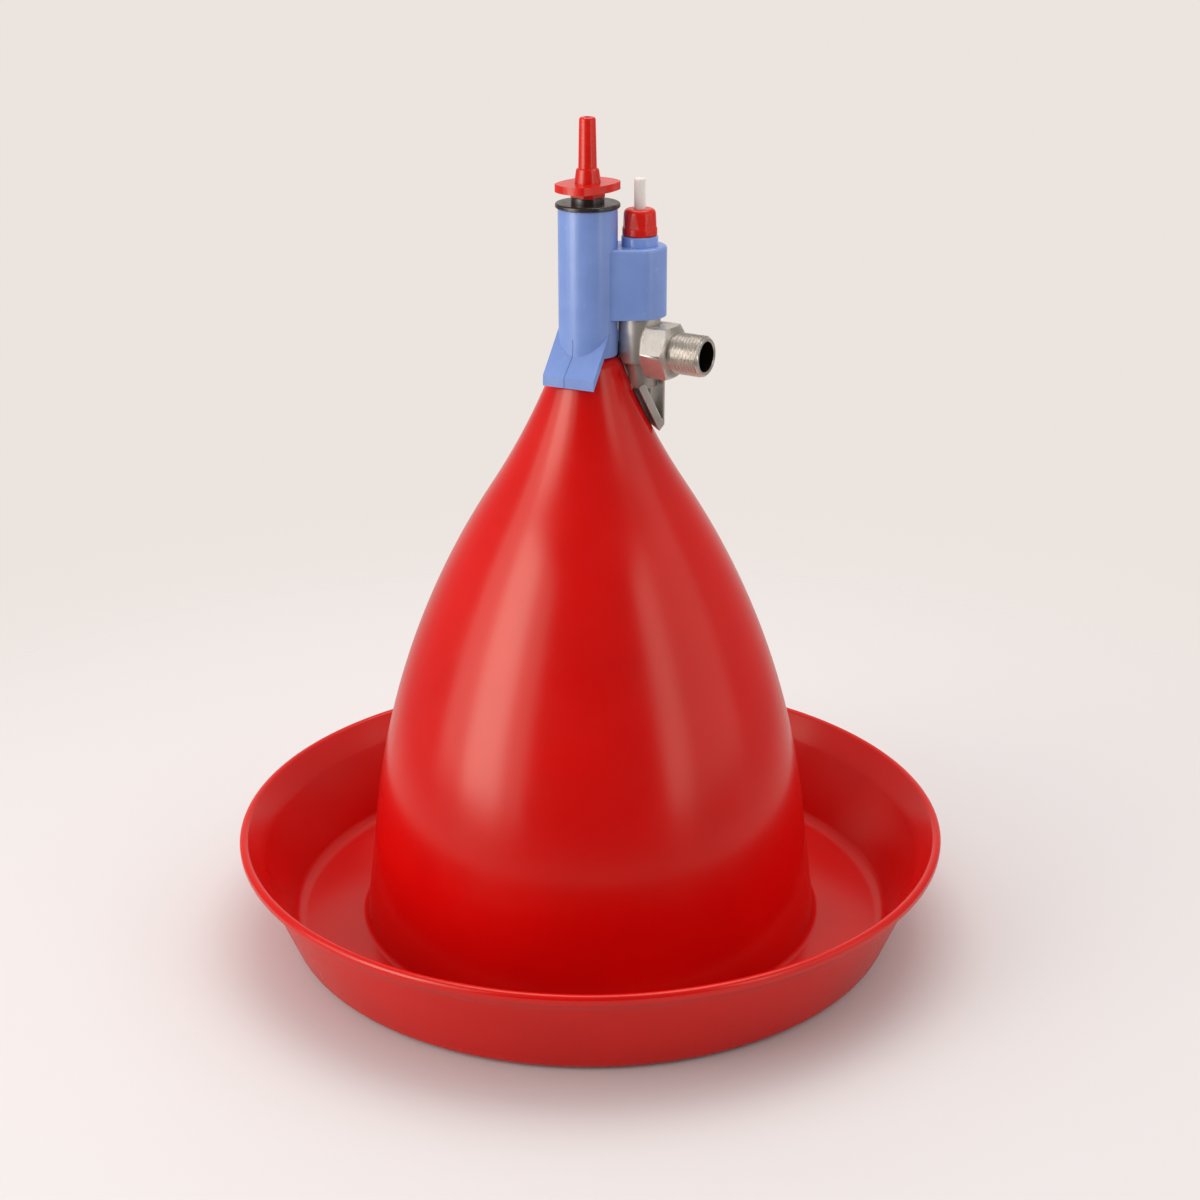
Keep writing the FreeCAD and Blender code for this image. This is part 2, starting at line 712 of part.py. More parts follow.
bore(housing, "barrelHole", "socketBore", "socketShoulder - socketFoot", x="socketOffset", lift="socketFoot")
bore(housing, "neckHole", "plugNeckHole", "socketTop - socketShoulder", x="socketOffset", lift="socketShoulder")
revolve(housing, "bellClearance", [
    ("0", "floorTop"),
    ("bellFootRadius", "floorTop"),
] + bellOutside("restGap") + [
    ("0", "bellHeight + restGap"),
], kind="Groove")

# Black cap pressed into the tube, with the collar that the spindle turns in
turned("top_cap", [
    ("journalHole", "-capPlugDepth"),
    ("tubeBore - pressSlack", "-capPlugDepth"),
    ("tubeBore - pressSlack", "0"),
    ("capRadius - capRound / 2", "0"),
    ("capRadius", "capRound / 2"),
    ("capRadius", "capThickness - capRound"),
    ("capRadius - capRound", "capThickness", "smooth"),
    ("capCollarRadius", "capThickness"),
    ("capCollarRadius", "capCollarHeight"),
    ("journalHole", "capCollarHeight"),
], z="tubeTop")
turned("thrust_washer", boxCorners("journalHole", "0", "thrustRadius", "thrustThickness"), z="thrustFoot")

# Red spindle: cord stub and collar above the thumb flange, eight-sided neck, journal in the cap
spindle = startBody("hanger_spindle")
revolve(spindle, "spindleTurn", [
    ("0", "journalFoot"),
    ("journalRadius", "journalFoot"),
    ("journalRadius", "grooveFoot"),
    ("clipGrooveRadius", "grooveFoot"),
    ("clipGrooveRadius", "grooveTop"),
    ("journalRadius", "grooveTop"),
    ("journalRadius", "neckHeight"),
    ("collarFootRadius", "neckHeight"),
    ("collarFootRadius", "flangeTop"),
    ("collarTopRadius", "collarTop - collarShoulder"),
    ("stubFootRadius", "collarTop"),
    ("stubTopRadius", "stubTop - stubRound"),
    ("stubTopRadius - stubRound", "stubTop", "smooth"),
    ("0", "stubTop"),
])
neckSketch = startSketch(spindle, "XY_Plane", "neckOutline")
flat = "neckFlats / 2"
drawOutline(neckSketch, [
    (flat, "-neckCut"), (flat, "neckCut"), ("neckCut", flat), ("-neckCut", flat),
    ("-" + flat, "neckCut"), ("-" + flat, "-neckCut"), ("-neckCut", "-" + flat), ("neckCut", "-" + flat),
])
pad(spindle, neckSketch, "neck", "neckHeight")
flangeSketch = startSketch(spindle, "XY_Plane", "flangeOutline", lift="neckHeight")
drawOutline(flangeSketch, [
    ("flangeEndX", "-flangeEndY", "flangeSide"),
    ("flangeEndX", "flangeEndY", "flangeReach"),
    ("-flangeEndX", "flangeEndY", "flangeSide"),
    ("-flangeEndX", "-flangeEndY", "flangeReach"),
])
pad(spindle, flangeSketch, "flange", "flangeThickness")
cornerReach = number("flangeReach")
roundEdges(spindle, "flangeCorners", "flangeCornerRound",
           lambda edge: len(edge.Vertexes) == 2
           and all(abs(math.hypot(v.X, v.Y) - cornerReach) < 1e-3 for v in edge.Vertexes)
           and abs(edge.Vertexes[0].Z - edge.Vertexes[1].Z) > 1)
bore(spindle, "cordHole", "cordBore", "stubTop - flangeTop", lift="flangeTop")
windowSketch = startSketch(spindle, "XZ_Plane", "cordWindowOutline", turn="spindleTurn")
drawOutline(windowSketch, boxCorners("-cordWindowWidth / 2", "flangeTop", "cordWindowWidth / 2",
                                     "flangeTop + cordWindowHeight"))
pocket(spindle, windowSketch, "cordWindow", "collarFootRadius * 3", symmetric=True)
bore(spindle, "screwSocket", "screwHole", "screwGrip", lift="journalFoot")
place(spindle, z="spindleFoot", turn="spindleTurn")

clip = turned("spindle_clip", boxCorners("clipGrooveRadius + pressSlack", "0", "clipRadius", "clipThickness"),
              z="clipFoot")
clipGap = startSketch(clip, "XY_Plane", "clipGapOutline")
drawOutline(clipGap, boxCorners("0", "-clipGrooveRadius", "clipRadius * 2", "clipGrooveRadius"))
pocket(clip, clipGap, "clipGap", "clipThickness")

screw = startBody("lead_screw")
raise_(screw, "screwShank", "screwRadius", "screwGrip + screwReach")
place(screw, z="screwFoot")

# White carrier: a nut on the screw, kept from turning by the ribs of the tube
carrier = turned("spring_carrier", [
    ("screwRadius + runningFit", "-spigotLength"),
    ("spigotRadius", "-spigotLength"),
    ("spigotRadius", "0"),
    ("carrierRadius", "0"),
    ("carrierRadius", "carrierThickness"),
    ("screwRadius + runningFit", "carrierThickness"),
], z="carrierFoot")
for side in ("", "-"):
    name = "notch" if side else "notchOpposite"
    notchSketch = startSketch(carrier, "XY_Plane", name + "Outline")
    near, far = side + "notchY", side + "carrierRadius * 1.5"
    low, high = (far, near) if side else (near, far)
    drawOutline(notchSketch, boxCorners("-notchX", low, "notchX", high))
    pocket(carrier, notchSketch, name, "carrierThickness")

# Nickel-plated barrel with a spout below, cut away along the bell
barrel = doc.addObject("PartDesign::Body", "barrelBlank")
revolve(barrel, "barrelTurn", [
    ("0", "0"),
    ("barrelRadius - barrelChamfer", "0"),
    ("barrelRadius", "barrelChamfer"),
    ("barrelRadius", "barrelLength"),
    ("0", "barrelLength"),
])
spoutRoot = startSketch(barrel, "XY_Plane", "spoutRoot")
drawCircle(spoutRoot, "spoutTopRadius", x="spoutShift")
spoutTip = startSketch(barrel, "XY_Plane", "spoutTip", lift="-spoutLength")
drawCircle(spoutTip, "spoutEndRadius", x="spoutShift")
spout = addFeature(barrel, "AdditiveLoft", spoutRoot, "spout")
spout.Sections = [spoutTip]
spout.Ruled = True
bore(barrel, "chamber", "chamberRadius", "barrelLength - chamberFloor", lift="chamberFloor")
bore(barrel, "spoutHole", "spoutBore", "spoutLength", x="spoutShift", lift="-spoutLength")
bore(barrel, "seatHole", "seatRadius", "chamberFloor", x="stemShift")
portSketch = startSketch(barrel, "YZ_Plane", "portOutline", turn="inletTurn - valveTurn")
drawCircle(portSketch, "portRadius", y="inletHeight - barrelFoot")
port = addFeature(barrel, "Pocket", portSketch, "port")
port.Reversed = True
drive(port, "Length", "barrelRadius + brazeGap")
place(barrel, x="socketOffset", z="barrelFoot", turn="valveTurn")
relief = doc.addObject("PartDesign::Body", "bellRelief")
revolve(relief, "bellReliefTurn", [
    ("0", "floorTop"),
    ("bellFootRadius + bellGap / cos(bellLean)", "floorTop"),
] + bellOutside("bellGap") + [
    ("0", "bellHeight + bellGap"),
])
valveBody = doc.addObject("Part::Cut", "valve_body")
valveBody.Label = "valve_body"
valveBody.Base = barrel
valveBody.Tool = relief
nodes.append(valveBody)

# Seat pressed into the floor of the chamber
turned("valve_seat", [
    ("seatBore", "0"),
    ("seatRadius - pressSlack", "0"),
    ("seatRadius - pressSlack", "chamberFloor"),
    ("seatBore + seatLipWidth", "chamberFloor"),
    ("seatBore + seatLipWidth / 2", "seatTop"),
    ("seatBore", "seatTop"),
], x="stemX", y="stemY", z="barrelFoot")

# Inlet nipple along its own axis, coped to the barrel and the spout
nipple = doc.addObject("PartDesign::Body", "nippleBlank")
hexSketch = startSketch(nipple, "XY_Plane", "hexOutline", lift="hexStart")
drawOutline(hexSketch, hexagonCorners("hexFlats"))
pad(nipple, hexSketch, "hex", "hexLength")
revolve(nipple, "hexCorners", [
    ("hexFlats / 2 - hexChamfer / 2", "hexEnd"),
    ("hexFlats", "hexEnd - (hexFlats / 2 + hexChamfer / 2) * tan(30)"),
    ("hexFlats", "hexEnd + hexChamfer"),
    ("hexFlats / 2 - hexChamfer / 2", "hexEnd + hexChamfer"),
], kind="Groove")
revolve(nipple, "hexCornersInner", [
    ("hexFlats / 2 - hexChamfer / 2", "hexStart - hexChamfer"),
    ("hexFlats", "hexStart - hexChamfer"),
    ("hexFlats", "hexStart + (hexFlats / 2 + hexChamfer / 2) * tan(30)"),
    ("hexFlats / 2 - hexChamfer / 2", "hexStart"),
], kind="Groove")
revolve(nipple, "pipeEnd", [
    ("0", "hexEnd - hexChamfer"),
    ("reliefRadius", "hexEnd - hexChamfer"),
    ("reliefRadius", "threadFoot"),
    ("threadRadius", "threadFoot + (threadRadius - reliefRadius) / 2"),
    ("threadRadius", "threadEnd - threadChamfer"),
    ("threadRadius - threadChamfer", "threadEnd"),
    ("0", "threadEnd"),
])
bore(nipple, "inletHole", "inletBore", "threadEnd - barrelRadius", lift="barrelRadius")
bore(nipple, "portHole", "portRadius", "threadEnd", lift="0")
place(nipple, x="socketOffset", z="inletHeight", turn="inletTurn", tilt="90")
copeBarrel = doc.addObject("Part::Cylinder", "copeBarrel")
drive(copeBarrel, "Radius", "barrelRadius + brazeGap")
drive(copeBarrel, "Height", "barrelLength")
place(copeBarrel, x="socketOffset", z="barrelFoot - brazeGap")
copeSpout = doc.addObject("Part::Cone", "copeSpout")
drive(copeSpout, "Radius1", "spoutEndRadius + brazeGap")
drive(copeSpout, "Radius2", "spoutTopRadius + brazeGap")
drive(copeSpout, "Height", "spoutLength")
place(copeSpout, x="socketOffset + spoutShift * cos(valveTurn)", y="spoutShift * sin(valveTurn)",
      z="barrelFoot - spoutLength")
cope = doc.addObject("Part::MultiFuse", "cope")
cope.Shapes = [copeBarrel, copeSpout]
inlet = doc.addObject("Part::Cut", "inlet_nipple")
inlet.Label = "inlet_nipple"
inlet.Base = nipple
inlet.Tool = cope
nodes.append(inlet)

# Mesh cup in the mouth of the inlet, here its closed outer form
strainer = startBody("inlet_strainer")
revolve(strainer, "strainerCup", [
    ("0", "-strainerLength"),
    ("strainerRadius - strainerWall * 3", "-strainerLength"),
    ("strainerRadius - strainerWall * 2", "-strainerWall * 2"),
    ("strainerRadius", "-strainerWall"),
    ("strainerRadius", "0"),
    ("strainerRadius - strainerWall * 2", "0"),
    ("strainerRadius - strainerWall * 4", "strainerWall - strainerLength"),
    ("0", "strainerWall - strainerLength"),
])
place(strainer, x="socketOffset + strainerSeat * cos(inletTurn)", y="strainerSeat * sin(inletTurn)",
      z="inletHeight", turn="inletTurn", tilt="90")

# Plug that closes the barrel, its neck coming up through the socket
plug = turned("valve_plug", [
    ("0", "0"),
    ("chamberRadius - pressSlack", "0"),
    ("chamberRadius - pressSlack", "plugDepth"),
    ("barrelRadius", "plugDepth"),
    ("barrelRadius", "plugShoulder"),
    ("plugNeckRadius", "plugShoulder"),
    ("plugNeckRadius", "plugLength"),
    ("0", "plugLength"),
], x="socketOffset", z="plugFoot")
place(plug, x="socketOffset", z="plugFoot", turn="valveTurn")
bore(plug, "pinSocket", "pinHole", "pinDepth", lift="plugLength - pinDepth")
bore(plug, "duct", "ductRadius", "plugLength - pinDepth", x="-ductRadius")
bore(plug, "stemGuide", "stemHole", "stemGuideReach + endPlay * 5", x="stemShift")

turned("valve_bush", [
    ("plugNeckHole", "0"),
    ("bushRadius", "0"),
    ("bushRadius", "bushHeight - bushChamfer"),
    ("bushRadius - bushChamfer", "bushHeight"),
    ("plugNeckHole", "bushHeight"),
], x="socketOffset", z="socketTop")

# Red gland nut: a skirt, six soft flats on a tapered body, a rounded top
gland = turned("gland_nut", [
    ("plugNeckHole", "0"),
    ("glandSkirtRadius", "0"),
    ("glandSkirtRadius", "glandSkirtHeight"),
    ("glandBodyRadius", "glandSkirtHeight"),
    ("glandTopRadius", "glandHeight - glandRound"),
    ("glandTopRadius - glandRound", "glandHeight", "smooth"),
    ("pinHole", "glandHeight"),
    ("pinHole", "glandCeiling"),
    ("plugNeckHole", "glandCeiling"),
], x="socketOffset", z="glandFoot")
flatsSketch = startSketch(gland, "XY_Plane", "glandFlatsOutline", lift="glandSkirtHeight")
drawCircle(flatsSketch, "glandSkirtRadius * 1.5")
drawOutline(flatsSketch, hexagonCorners("glandFlats"))
pocket(gland, flatsSketch, "glandFlatsCut", "glandHeight")

ring = doc.addObject("Part::Torus", "gland_ring")
ring.Label = "gland_ring"
drive(ring, "Radius1", "ringRadius")
drive(ring, "Radius2", "ringWire")
place(ring, x="socketOffset", z="ringHeight")
nodes.append(ring)

turned("blanking_pin", [
    ("0", "0"),
    ("pinRadius", "0"),
    ("pinRadius", "pinLength - pinRound"),
    ("pinRadius - pinRound", "pinLength", "smooth"),
    ("0", "pinLength"),
], x="socketOffset", z="pinFoot")

# Stem with its seal, hung in the outlet and carried by the stirrup
turned("valve_stem", [
    ("0", "0"),
    ("stemRadius", "0"),
    ("stemRadius", "stemCollarFoot"),
    ("stemCollarRadius", "stemCollarFoot"),
    ("stemCollarRadius", "stemCollarTop"),
    ("stemRadius", "stemCollarTop"),
    ("stemRadius", "stemLength"),
    ("0", "stemLength"),
], x="stemX", y="stemY", z="stemFoot")
turned("stem_seal", boxCorners("stemRadius + pressSlack", "0", "sealRadius", "sealThickness"),
       x="stemX", y="stemY", z="sealFoot")

# Stirrup, folded from one strip: a channel that lies along the bell, its cheeks beside the spout,
# and a back plate that rises from its heel
stirrup = startBody("stirrup")
cheekSketch = startSketch(stirrup, "XZ_Plane", "cheekProfile")
drawOutline(cheekSketch, [
    ("padReach", "0"),
    ("plateReach", "heelHeight"),
    ("padEndSkin", "padEndZ"),
    ("padEndX", "padHeight"),
])
pad(stirrup, cheekSketch, "cheeks", "stirrupWidth", symmetric=True)
tipLevels = (number("padHeight"), number("padEndZ"))
roundEdges(stirrup, "cheekTips", "padRound", lambda edge: any(atLevel(edge, level) for level in tipLevels))
channelSketch = startSketch(stirrup, "XZ_Plane", "channelProfile")
drawOutline(channelSketch, [
    ("padReach + baseSkin - channelFloor * padLean", "channelFloor"),
    ("plateInner", "channelFloor"),
    ("plateInner", "padEndZ * 2"),
    ("padEndX * 2", "padEndZ * 2"),
    ("padEndX * 2", "channelTop"),
    ("padReach + baseSkin - channelTop * padLean", "channelTop"),
])
pocket(stirrup, channelSketch, "channel", "stirrupWidth - stripThickness * 2", symmetric=True)
plateSketch = startSketch(stirrup, "XZ_Plane", "plateProfile")
drawOutline(plateSketch, boxCorners("plateInner", "heelHeight", "plateReach", "plateLength"))
pad(stirrup, plateSketch, "backPlate", "stirrupWidth", symmetric=True)
bore(stirrup, "rivetHole", "stemRadius + pressSlack", "padHeight")
place(stirrup, x="stemX", y="stemY", z="padFoot", turn="valveTurn")

sheet.clear(scratchCell)
doc.recompute()

for item in doc.Objects:
    if "Invalid" in item.State or "Error" in item.State:
        raise RuntimeError("%s is in state %s" % (item.Name, item.State))
for node in nodes:
    if node.Shape.isNull() or not node.Shape.isValid() or len(node.Shape.Solids) != 1:
        raise RuntimeError("%s has no single valid solid" % node.Label)

os.makedirs("parts", exist_ok=True)
for node in nodes:
    node.Shape.exportStep("parts/%s.step" % node.Label)
print(len(nodes), "pieces")
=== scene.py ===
import math
import bmesh
import bpy
from mathutils import Matrix, Vector


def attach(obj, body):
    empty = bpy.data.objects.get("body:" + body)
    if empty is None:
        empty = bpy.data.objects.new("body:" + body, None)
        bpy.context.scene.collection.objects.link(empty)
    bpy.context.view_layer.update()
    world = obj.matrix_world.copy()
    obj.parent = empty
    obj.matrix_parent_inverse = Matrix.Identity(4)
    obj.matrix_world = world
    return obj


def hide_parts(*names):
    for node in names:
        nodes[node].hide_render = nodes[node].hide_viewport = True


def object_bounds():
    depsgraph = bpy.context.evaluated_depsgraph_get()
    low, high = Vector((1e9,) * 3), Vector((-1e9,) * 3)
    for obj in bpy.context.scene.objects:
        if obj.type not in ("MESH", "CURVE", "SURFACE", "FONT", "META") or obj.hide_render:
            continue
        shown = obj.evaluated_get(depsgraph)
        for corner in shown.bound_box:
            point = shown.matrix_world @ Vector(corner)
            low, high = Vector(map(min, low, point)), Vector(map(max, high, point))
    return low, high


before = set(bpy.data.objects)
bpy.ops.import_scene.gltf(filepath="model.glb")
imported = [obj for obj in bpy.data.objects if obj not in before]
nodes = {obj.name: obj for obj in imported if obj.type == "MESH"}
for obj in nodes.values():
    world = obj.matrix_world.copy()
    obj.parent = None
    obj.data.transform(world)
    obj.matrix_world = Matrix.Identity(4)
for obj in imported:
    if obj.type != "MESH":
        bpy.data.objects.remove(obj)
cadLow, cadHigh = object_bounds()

# Bell drinker for poultry. Metres, +Z up, +X towards the valve socket.
mm = 0.001


# ---- colours and nodes
def hexColour(code):  # sRGB hex to the linear values that Blender wants
    parts = [int(code[i:i + 2], 16) / 255 for i in (1, 3, 5)]
    return [c / 12.92 if c <= 0.04045 else ((c + 0.055) / 1.055) ** 2.4 for c in parts] + [1.0]


def addNode(tree, kind, settings=None, values=None, links=None):
    node = tree.nodes.new(kind)
    for name, value in (settings or {}).items():
        setattr(node, name, value)
    for name, value in (values or {}).items():
        node.inputs[name].default_value = value
    for name, source in (links or {}).items():
        tree.links.new(source, node.inputs[name])
    return node


def setRamp(node, stops):
    ramp = node.color_ramp
    while len(ramp.elements) > 1:
        ramp.elements.remove(ramp.elements[-1])
    ramp.elements[0].position, ramp.elements[0].color = stops[0]
    for position, colour in stops[1:]:
        ramp.elements.new(position).color = colour


def newMaterial(name):
    material = bpy.data.materials.new(name)
    material.use_nodes = True
    tree = material.node_tree
    tree.nodes.clear()
    return material, tree


def finishMaterial(tree, shader):
    addNode(tree, "ShaderNodeOutputMaterial", links={"Surface": shader.outputs[0]})


# ---- plastics
# Each is coloured through, so its shade varies only a little, and its skin copies the mould:
# a faint waviness a few millimetres long over a fine grain, with light scuffs from handling.
def mouldedPlastic(name, look):
    material, tree = newMaterial(name)
    place = addNode(tree, "ShaderNodeTexCoord")
    cloud = addNode(tree, "ShaderNodeTexNoise",
                    values={"Scale": 1 / (look["cloudMm"] * mm), "Detail": 3, "Roughness": 0.5},
                    links={"Vector": place.outputs["Object"]})
    shade = addNode(tree, "ShaderNodeValToRGB", links={"Fac": cloud.outputs["Fac"]})
    setRamp(shade, [(0.3, hexColour(look["deep"])), (0.7, hexColour(look["light"]))])
    scuff = addNode(tree, "ShaderNodeTexNoise",
                    values={"Scale": 1 / (look["scuffMm"] * mm), "Detail": 6, "Roughness": 0.65},
                    links={"Vector": place.outputs["Object"]})
    rough = addNode(tree, "ShaderNodeMapRange",
                    values={"From Min": 0.35, "From Max": 0.7, "To Min": look["roughness"] - look["spread"],
                            "To Max": look["roughness"] + look["spread"]}, links={"Value": scuff.outputs["Fac"]})
    wave = addNode(tree, "ShaderNodeTexNoise", values={"Scale": 1 / (look["waveMm"] * mm), "Detail": 1},
                   links={"Vector": place.outputs["Object"]})
    waveBump = addNode(tree, "ShaderNodeBump", values={"Strength": 1, "Distance": look["waveDepthMm"] * mm},
                       links={"Height": wave.outputs["Fac"]})
    grain = addNode(tree, "ShaderNodeTexNoise", values={"Scale": 1 / (look["grainMm"] * mm), "Detail": 2},
                    links={"Vector": place.outputs["Object"]})
    grainBump = addNode(tree, "ShaderNodeBump", values={"Strength": 1, "Distance": look["grainDepthMm"] * mm},
                        links={"Height": grain.outputs["Fac"], "Normal": waveBump.outputs["Normal"]})
    shader = addNode(tree, "ShaderNodeBsdfPrincipled", values={
                     "IOR": look["ior"], "Specular IOR Level": look["gloss"], "Specular Tint": hexColour(look["sheen"]),
                     "Subsurface Weight": look["glow"], "Subsurface Scale": 1.0,
                     "Subsurface Radius": [look["glowMm"] * mm * c for c in look["glowTint"]]},
                     links={"Base Color": shade.outputs["Color"], "Roughness": rough.outputs["Result"],
                            "Normal": grainBump.outputs["Normal"]})
    if "partingLine" in look:
        addPartingLineAndShade(tree, shader, look["partingLine"])
    finishMaterial(tree, shader)
    return material


# Where the mould's halves met: a fine groove in the plane through the axis, below a given height, its colour darkened
# with painted shade.
# A real one is some 0.1 mm wide. It is drawn wider here, so that it shows.
def addPartingLineAndShade(tree, shader, line):
    angle = math.radians(line["turn"])
    place = addNode(tree, "ShaderNodeTexCoord")
    across = addNode(tree, "ShaderNodeVectorMath", {"operation": "DOT_PRODUCT"},
                     {1: (-math.sin(angle), math.cos(angle), 0)}, {0: place.outputs["Object"]})
    distance = addNode(tree, "ShaderNodeMath", {"operation": "ABSOLUTE"}, links={0: across.outputs["Value"]})
    near = addNode(tree, "ShaderNodeMapRange",
                   values={"From Min": line["widthMm"] * 0.25 * mm, "From Max": line["widthMm"] * 0.6 * mm,
                           "To Min": 1, "To Max": 0}, links={"Value": distance.outputs[0]})
    split = addNode(tree, "ShaderNodeSeparateXYZ", links={0: place.outputs["Object"]})
    below = addNode(tree, "ShaderNodeMath", {"operation": "LESS_THAN"}, {1: line["topMm"] * mm}, {0: split.outputs["Z"]})
    groove = addNode(tree, "ShaderNodeMath", {"operation": "MULTIPLY"},
                     links={0: near.outputs["Result"], 1: below.outputs[0]})
    # painted shade: along the groove the base colour is darkened towards the line's colour
    faint = addNode(tree, "ShaderNodeMath", {"operation": "MULTIPLY"}, {1: line["shade"]}, {0: groove.outputs[0]})
    plain = shader.inputs["Base Color"].links[0].from_socket
    grooveWithPaintedShade = addNode(tree, "ShaderNodeMix", {"data_type": "RGBA"}, {"B": hexColour(line["colour"])},
                     {"Factor": faint.outputs[0], "A": plain})
    tree.links.new(grooveWithPaintedShade.outputs["Result"], shader.inputs["Base Color"])
    skin = shader.inputs["Normal"].links[0].from_socket
    dip = addNode(tree, "ShaderNodeBump", {"invert": True}, {"Strength": 1, "Distance": line["depthMm"] * mm},
                  {"Height": groove.outputs[0], "Normal": skin})
    tree.links.new(dip.outputs["Normal"], shader.inputs["Normal"])


# Polypropylene, injection moulded in a polished tool: saturated red with a wide soft sheen
redPolypropylene = mouldedPlastic("redPolypropyleneMoulded", {
    "deep": "#C20202", "light": "#CC0403", "cloudMm": 70, "scuffMm": 24, "roughness": 0.22, "spread": 0.02,
    "waveMm": 28, "waveDepthMm": 0.05, "grainMm": 1.1, "grainDepthMm": 0.004, "ior": 1.49, "gloss": 0.68, "sheen": "#FFF6E6",
    "glow": 0.0, "glowMm": 1.0, "glowTint": (1, 0.1, 0.1)})
# Acetal, moulded small: the same red, brighter and with sharper highlights
redAcetal = mouldedPlastic("redAcetalMoulded", {
    "deep": "#CC1008", "light": "#D8160C", "cloudMm": 12, "scuffMm": 5, "roughness": 0.24, "spread": 0.04,
    "waveMm": 6, "waveDepthMm": 0.012, "grainMm": 0.6, "grainDepthMm": 0.0015, "ior": 1.48, "gloss": 0.8, "sheen": "#FFF6E6",
    "glow": 0.08, "glowMm": 1.2, "glowTint": (1, 0.15, 0.1)})
# ABS, moulded in a finely blasted tool: lavender blue with a soft, even sheen and the mould's parting line
blueAbs = mouldedPlastic("blueAbsMoulded", {
    "deep": "#7490D0", "light": "#7F9BDA", "cloudMm": 18, "scuffMm": 6, "roughness": 0.24, "spread": 0.04,
    "waveMm": 9, "waveDepthMm": 0.015, "grainMm": 0.6, "grainDepthMm": 0.002, "ior": 1.52, "gloss": 0.9, "sheen": "#FFFFFF",
    "glow": 0.05, "glowMm": 1.5, "glowTint": (0.5, 0.6, 1),
    # the parting line's colour is a darker blue: painted shade in its groove
    "partingLine": {"turn": -130, "topMm": 327, "widthMm": 0.6, "depthMm": 0.12, "colour": "#46609C", "shade": 0.65}})
# Acetal ring, turned and polished: a lighter blue with a wetter gloss
blueAcetal = mouldedPlastic("blueAcetalTurned", {
    "deep": "#7A98DC", "light": "#86A4E6", "cloudMm": 8, "scuffMm": 4, "roughness": 0.16, "spread": 0.03,
    "waveMm": 4, "waveDepthMm": 0.01, "grainMm": 0.4, "grainDepthMm": 0.002, "ior": 1.48, "gloss": 0.9, "sheen": "#FFFFFF",
    "glow": 0.05, "glowMm": 1.0, "glowTint": (0.5, 0.6, 1)})
# Nylon with soot, moulded: near black, brownish grey where light grazes it
blackNylon = mouldedPlastic("blackNylonMoulded", {
    "deep": "#262221", "light": "#302B2A", "cloudMm": 10, "scuffMm": 4, "roughness": 0.27, "spread": 0.06,
    "waveMm": 6, "waveDepthMm": 0.02, "grainMm": 0.35, "grainDepthMm": 0.008, "ior": 1.53, "gloss": 0.9, "sheen": "#FFFFFF",
    "glow": 0.0, "glowMm": 0.5, "glowTint": (1, 1, 1)})
# Polyethylene rod, extruded without pigment: milky white that lets light into its edges
milkyPolyethylene = mouldedPlastic("milkyPolyethyleneExtruded", {
    "deep": "#DFD9D6", "light": "#E9E4E1", "cloudMm": 6, "scuffMm": 3, "roughness": 0.35, "spread": 0.05,
    "waveMm": 3, "waveDepthMm": 0.01, "grainMm": 0.4, "grainDepthMm": 0.003, "ior": 1.51, "gloss": 0.6, "sheen": "#FFFFFF",
    "glow": 0.5, "glowMm": 2.5, "glowTint": (1, 0.95, 0.92)})
# Polyethylene tank, blown without pigment: waxy off-white with a dull skin
waxyPolyethylene = mouldedPlastic("waxyPolyethyleneBlown", {
    "deep": "#D6D4CC", "light": "#E4E2DA", "cloudMm": 60, "scuffMm": 20, "roughness": 0.48, "spread": 0.08,
    "waveMm": 22, "waveDepthMm": 0.12, "grainMm": 1.2, "grainDepthMm": 0.02, "ior": 1.51, "gloss": 0.5, "sheen": "#FFFFFF",
    "glow": 0.15, "glowMm": 3, "glowTint": (1, 0.96, 0.9)})
# Nitrile rubber, pressed: charcoal with almost no shine
blackRubber = mouldedPlastic("blackRubberPressed", {
    "deep": "#1D1C1C", "light": "#272626", "cloudMm": 6, "scuffMm": 2, "roughness": 0.7, "spread": 0.08,
    "waveMm": 3, "waveDepthMm": 0.01, "grainMm": 0.4, "grainDepthMm": 0.01, "ior": 1.52, "gloss": 0.4, "sheen": "#FFFFFF",
    "glow": 0.0, "glowMm": 0.5, "glowTint": (1, 1, 1)})


# ---- metals
# Each keeps the lines that its making left: turned or rolled streaks along one axis, a cloudy plate over them.
def workedMetal(name, look):
    material, tree = newMaterial(name)
    place = addNode(tree, "ShaderNodeTexCoord")
    streakScale = [1 / (size * mm) for size in look["streakMm"]]
    turn = addNode(tree, "ShaderNodeMapping", values={"Rotation": look["turn"], "Scale": streakScale},
                   links={"Vector": place.outputs["Object"]})
    streaks = addNode(tree, "ShaderNodeTexNoise", values={"Scale": 1, "Detail": 3, "Roughness": 0.6},
                      links={"Vector": turn.outputs["Vector"]})
    cloud = addNode(tree, "ShaderNodeTexNoise", values={"Scale": 1 / (look["cloudMm"] * mm), "Detail": 4},
                    links={"Vector": place.outputs["Object"]})
    shade = addNode(tree, "ShaderNodeValToRGB", links={"Fac": cloud.outputs["Fac"]})
    setRamp(shade, [(0.3, hexColour(look["deep"])), (0.7, hexColour(look["light"]))])
    rough = addNode(tree, "ShaderNodeMapRange",
                    values={"From Min": 0.3, "From Max": 0.7, "To Min": look["roughness"] - look["spread"],
                            "To Max": look["roughness"] + look["spread"]}, links={"Value": streaks.outputs["Fac"]})
    bump = addNode(tree, "ShaderNodeBump", values={"Strength": 1, "Distance": look["depthMm"] * mm},
                   links={"Height": streaks.outputs["Fac"]})
    shader = addNode(tree, "ShaderNodeBsdfPrincipled", values={"Metallic": look["metallic"]},
                     links={"Base Color": shade.outputs["Color"], "Roughness": rough.outputs["Result"],
                            "Normal": bump.outputs["Normal"]})
    finishMaterial(tree, shader)
    return material


